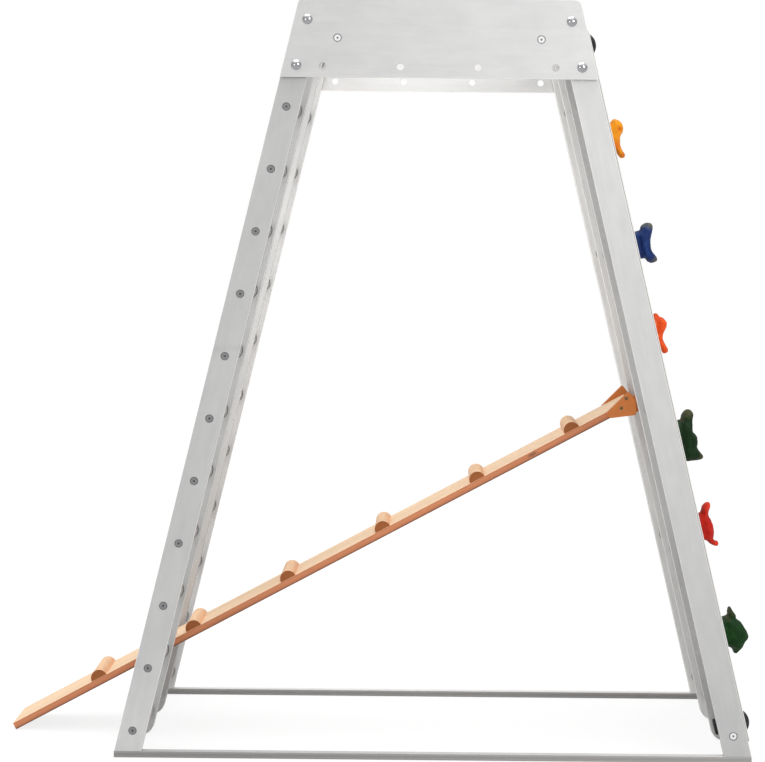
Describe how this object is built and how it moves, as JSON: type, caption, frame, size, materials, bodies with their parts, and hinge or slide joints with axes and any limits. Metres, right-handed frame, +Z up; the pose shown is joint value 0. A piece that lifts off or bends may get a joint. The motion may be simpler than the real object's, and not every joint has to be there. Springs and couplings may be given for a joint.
{
  "type": "indoor climbing frame",
  "caption": "A-shaped wooden indoor climbing frame with a ladder side, a climbing wall side with resin holds, and a cleated ramp hooked over a crossbar.",
  "frame": {"origin": "centre of the whole footprint, frame and ramp together at rest, at floor level", "axes": "+X from the foot of the ramp towards the climbing wall leg, +Y across the bays away from the near panel, +Z up"},
  "size_m": [1.8067, 0.8412, 1.8],
  "materials": {
    "plywood_upright": "birch plywood, clear lacquer, satin",
    "plywood_runner": "birch plywood, edge layers showing, satin",
    "plywood_panel": "birch plywood, clear lacquer, satin",
    "plywood_wall": "birch plywood, clear lacquer, satin",
    "rung_wood": "turned beech, satin",
    "screw_steel": "zinc plated",
    "small_screw_steel": "zinc plated",
    "bolt_steel": "bright zinc",
    "black_plastic": "black moulded",
    "resin_dark_green": "cast resin, fine grit, marbled",
    "resin_marbled_green": "cast resin, fine grit, marbled",
    "resin_red": "cast resin, fine grit",
    "resin_orange": "cast resin, fine grit",
    "resin_blue": "cast resin, fine grit",
    "resin_yellow": "cast resin, fine grit",
    "beech_ramp": "steamed beech, oiled",
    "hook_wood": "beech plywood, oiled"
  },
  "bodies": {
    "frame": {"ladder_upright_near": "plywood_upright", "ladder_upright_inner_near": "plywood_upright", "ladder_upright_inner_far": "plywood_upright", "ladder_upright_far": "plywood_upright", "wall_upright_near": "plywood_upright", "wall_upright_inner_near": "plywood_upright", "wall_upright_inner_far": "plywood_upright", "wall_upright_far": "plywood_upright", "floor_runner_near": "plywood_runner", "floor_runner_far": "plywood_runner", "ladder_rung_bottom": "rung_wood", "ladder_rung_top": "rung_wood", "ladder_rungs_near_bay": "rung_wood", "ladder_rungs_far_bay": "rung_wood", "wall_crossbar_bottom": "rung_wood", "wall_crossbar_low": "rung_wood", "wall_crossbar_ramp": "rung_wood", "wall_crossbar_middle": "rung_wood", "wall_crossbar_upper": "rung_wood", "wall_crossbar_top": "rung_wood", "top_panel_near": "plywood_panel", "top_panel_far": "plywood_panel", "top_crossbar_left": "rung_wood", "top_crossbar_right": "rung_wood", "climbing_wall_panel": "plywood_wall", "hold_green": "resin_dark_green", "hold_red": "resin_red", "hold_dark_green": "resin_marbled_green", "hold_orange": "resin_orange", "hold_blue": "resin_blue", "hold_yellow": "resin_yellow", "hold_far_red": "resin_red", "hold_far_yellow": "resin_yellow", "hold_far_blue": "resin_blue", "hold_far_orange": "resin_orange", "hold_bolts": "bolt_steel", "hold_tnuts": "bolt_steel", "rung_screws": "screw_steel", "crossbar_screws": "screw_steel", "runner_screws": "small_screw_steel", "panel_carriage_bolts": "bolt_steel", "panel_bolt_nuts": "bolt_steel", "wall_clamp_bolts": "black_plastic"},
    "ramp": {"ramp_board": "beech_ramp", "ramp_cleat_1": "beech_ramp", "ramp_cleat_2": "beech_ramp", "ramp_cleat_3": "beech_ramp", "ramp_cleat_4": "beech_ramp", "ramp_cleat_5": "beech_ramp", "ramp_cleat_6": "beech_ramp", "ramp_ear_near": "beech_ramp", "ramp_ear_far": "beech_ramp", "ramp_hook_near": "hook_wood", "ramp_hook_far": "hook_wood", "ramp_cleat_screws": "small_screw_steel", "ramp_ear_screws": "small_screw_steel"},
    "knob_low_near": {"clamp_knob_low_near": "black_plastic"},
    "knob_high_near": {"clamp_knob_high_near": "black_plastic"}
  },
  "joints": [
    {"name": "ramp_tilt", "type": "hinge", "parent": "frame", "child": "ramp", "pos_m": [0.67091, 0, 0.814], "axis": [0, 1, 0], "range_deg": [0, 45]},
    {"name": "clamp_knob_low_near_turn", "type": "hinge", "parent": "frame", "child": "knob_low_near", "pos_m": [0.82216, -0.259, 0.05679], "axis": [0.9732, 0, 0.23], "continuous": true},
    {"name": "clamp_knob_high_near_turn", "type": "hinge", "parent": "frame", "child": "knob_high_near", "pos_m": [0.43637, -0.259, 1.68879], "axis": [0.9732, 0, 0.23], "continuous": true}
  ]
}
